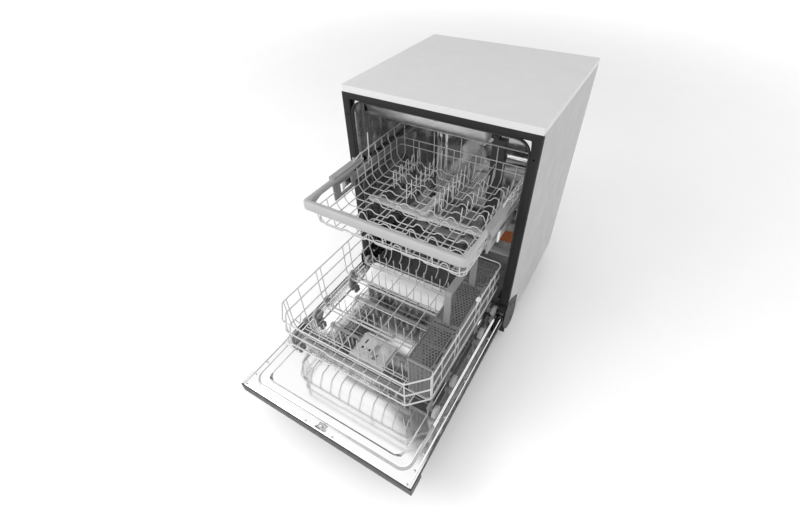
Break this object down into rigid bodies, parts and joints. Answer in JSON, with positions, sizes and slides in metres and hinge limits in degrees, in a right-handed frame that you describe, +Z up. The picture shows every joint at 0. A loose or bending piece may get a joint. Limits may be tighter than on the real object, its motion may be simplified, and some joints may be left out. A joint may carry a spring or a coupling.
{
  "type": "built-in dishwasher",
  "caption": "Front-loading dishwasher cabinet with its door lying open and two wire racks drawn out, a long cutlery basket, spray arms and a stainless tub.",
  "frame": {"origin": "middle of the whole footprint on the floor, door open", "axes": "+Z up, -Y towards the user, +X to the right as seen from the front"},
  "size_m": [0.598, 1.213, 0.845],
  "materials": {
    "white_laminate": "fine-textured off-white laminate",
    "grey_enamel": "pale grey baked enamel",
    "black_enamel": "semi-gloss black",
    "stainless": "bright satin stainless",
    "zinc_steel": "zinc-plated steel",
    "rubber_black": "matt",
    "rubber_grey": "matt",
    "base_plastic": "moulded, matt",
    "dark_plastic": "moulded, matt",
    "grey_plastic": "moulded, satin",
    "basket_plastic": "moulded, satin",
    "coated_wire": "nylon-coated wire, pale grey",
    "white_plastic": "moulded",
    "console_plastic": "satin charcoal",
    "display_glass": "smoked lens",
    "felt": "bitumen felt",
    "label_orange": "plain label",
    "cast": "painted"
  },
  "bodies": {
    "cabinet": {"top_panel": "white_laminate", "side_panels": "grey_enamel", "back_panel": "zinc_steel", "front_frame": "black_enamel", "door_seals": "rubber_black", "base_tray": "base_plastic", "counterweight": "cast", "toe_kick": "black_enamel", "levelling_feet": "base_plastic", "tub_shell": "stainless", "tub_floor": "stainless", "sump": "base_plastic", "filter_plate": "stainless", "water_feed_duct": "dark_plastic", "lower_rack_tracks": "stainless", "latch_striker": "zinc_steel", "upper_rails_fixed": "zinc_steel", "floor_label": "label_orange", "circulation_pump": "base_plastic", "drain_pump": "base_plastic", "inlet_valve": "white_plastic", "drain_connector": "base_plastic", "air_break_chamber": "white_plastic", "junction_box": "base_plastic", "hinge_brackets": "zinc_steel", "door_springs": "zinc_steel"},
    "filter": {"filter_cartridge": "grey_plastic"},
    "lower_arm": {"lower_spray_arm": "grey_plastic"},
    "door": {"door_liner": "stainless", "door_outer_panel": "black_enamel", "door_insulation": "felt", "control_console": "console_plastic", "display_window": "display_glass", "door_hinge_arms": "zinc_steel", "door_screws": "zinc_steel", "dispenser_body": "grey_plastic"},
    "latch": {"door_latch": "zinc_steel"},
    "lid": {"dispenser_lid": "grey_plastic"},
    "rinse_cap": {"rinse_aid_cap": "dark_plastic"},
    "power": {"power_button": "console_plastic"},
    "program": {"program_button": "console_plastic"},
    "start": {"start_button": "console_plastic"},
    "rail_middle": {"rail_sliders": "zinc_steel"},
    "upper_rack": {"upper_rack_rim": "grey_plastic", "upper_rack_wires": "coated_wire", "rack_adjusters": "dark_plastic", "upper_feed_tube": "grey_plastic"},
    "upper_arm": {"upper_spray_arm": "grey_plastic"},
    "lower_rack": {"lower_rack_wires": "coated_wire", "lower_rack_clips": "dark_plastic", "cutlery_basket": "basket_plastic", "basket_handle": "grey_plastic"},
    "tines_front": {"fold_tine_row_front": "coated_wire"},
    "tines_rear": {"fold_tine_row_rear": "coated_wire"},
    "wheels_1": {"lower_rack_wheels_1": "dark_plastic"},
    "wheels_2": {"lower_rack_wheels_2": "dark_plastic"},
    "wheels_3": {"lower_rack_wheels_3": "dark_plastic"},
    "wheels_4": {"lower_rack_wheels_4": "dark_plastic"},
    "basket_lid_a": {"basket_lid_front": "basket_plastic"},
    "basket_lid_b": {"basket_lid_rear": "basket_plastic"}
  },
  "joints": [
    {"name": "door_hinge", "type": "hinge", "parent": "cabinet", "child": "door", "pos_m": [0, 0.0345, 0.172], "axis": [1, 0, 0], "range_deg": [0, 2]},
    {"name": "upper_rack_slide", "type": "slide", "parent": "cabinet", "child": "upper_rack", "axis": [0, 1, 0], "range_m": [0, 0.302]},
    {"name": "upper_rail_slide", "type": "slide", "parent": "cabinet", "child": "rail_middle", "axis": [0, 1, 0], "range_m": [0, 0.151]},
    {"name": "lower_rack_slide", "type": "slide", "parent": "cabinet", "child": "lower_rack", "axis": [0, 1, 0], "range_m": [0, 0.506]},
    {"name": "lower_arm_spin", "type": "hinge", "parent": "cabinet", "child": "lower_arm", "pos_m": [0, 0.3215, 0.183], "axis": [0, 0, 1], "continuous": true},
    {"name": "upper_arm_spin", "type": "hinge", "parent": "upper_rack", "child": "upper_arm", "pos_m": [0, 0.0025, 0.51], "axis": [0, 0, 1], "continuous": true},
    {"name": "filter_turn", "type": "hinge", "parent": "cabinet", "child": "filter", "pos_m": [0.062, 0.2145, 0.15], "axis": [0, 0, 1], "range_deg": [0, 90]},
    {"name": "latch_press", "type": "slide", "parent": "door", "child": "latch", "axis": [0, 0, -1], "range_m": [0, 0.0035], "stiffness_N_per_m": 400},
    {"name": "dispenser_lid_slide", "type": "slide", "parent": "door", "child": "lid", "axis": [-1, 0, 0], "range_m": [0, 0.062]},
    {"name": "rinse_cap_turn", "type": "hinge", "parent": "door", "child": "rinse_cap", "pos_m": [0.022, -0.2935, 0.172], "axis": [0, 0, 1], "range_deg": [0, 90]},
    {"name": "fold_tines_front", "type": "hinge", "parent": "lower_rack", "child": "tines_front", "pos_m": [0, -0.2615, 0.21965], "axis": [-1, 0, 0], "range_deg": [0, 90]},
    {"name": "fold_tines_rear", "type": "hinge", "parent": "lower_rack", "child": "tines_rear", "pos_m": [0, -0.1085, 0.21965], "axis": [-1, 0, 0], "range_deg": [0, 90]},
    {"name": "basket_lid_front_turn", "type": "hinge", "parent": "lower_rack", "child": "basket_lid_a", "pos_m": [0.2405, -0.3265, 0.371], "axis": [0, 1, 0], "range_deg": [0, 90]},
    {"name": "basket_lid_rear_turn", "type": "hinge", "parent": "lower_rack", "child": "basket_lid_b", "pos_m": [0.2405, -0.0055, 0.371], "axis": [0, 1, 0], "range_deg": [0, 90]},
    {"name": "power_press", "type": "slide", "parent": "door", "child": "power", "axis": [0, 0, 1], "range_m": [0, 0.0015], "stiffness_N_per_m": 400},
    {"name": "program_press", "type": "slide", "parent": "door", "child": "program", "axis": [0, 0, 1], "range_m": [0, 0.0015], "stiffness_N_per_m": 400},
    {"name": "start_press", "type": "slide", "parent": "door", "child": "start", "axis": [0, 0, 1], "range_m": [0, 0.0015], "stiffness_N_per_m": 400},
    {"name": "wheel_roll_1", "type": "hinge", "parent": "lower_rack", "child": "wheels_1", "pos_m": [0, -0.4035, 0.1913], "axis": [-1, 0, 0], "continuous": true},
    {"name": "wheel_roll_2", "type": "hinge", "parent": "lower_rack", "child": "wheels_2", "pos_m": [0, -0.2935, 0.1913], "axis": [-1, 0, 0], "continuous": true},
    {"name": "wheel_roll_3", "type": "hinge", "parent": "lower_rack", "child": "wheels_3", "pos_m": [0, -0.0935, 0.1913], "axis": [-1, 0, 0], "continuous": true},
    {"name": "wheel_roll_4", "type": "hinge", "parent": "lower_rack", "child": "wheels_4", "pos_m": [0, 0.0165, 0.1913], "axis": [-1, 0, 0], "continuous": true}
  ],
  "couplings": [
    {"joint": "upper_rail_slide", "follows": "upper_rack_slide", "ratio": 0.5},
    {"joint": "wheel_roll_1", "follows": "lower_rack_slide", "rad_per_m": 52.632},
    {"joint": "wheel_roll_2", "follows": "lower_rack_slide", "rad_per_m": 52.632},
    {"joint": "wheel_roll_3", "follows": "lower_rack_slide", "rad_per_m": 52.632},
    {"joint": "wheel_roll_4", "follows": "lower_rack_slide", "rad_per_m": 52.632}
  ]
}
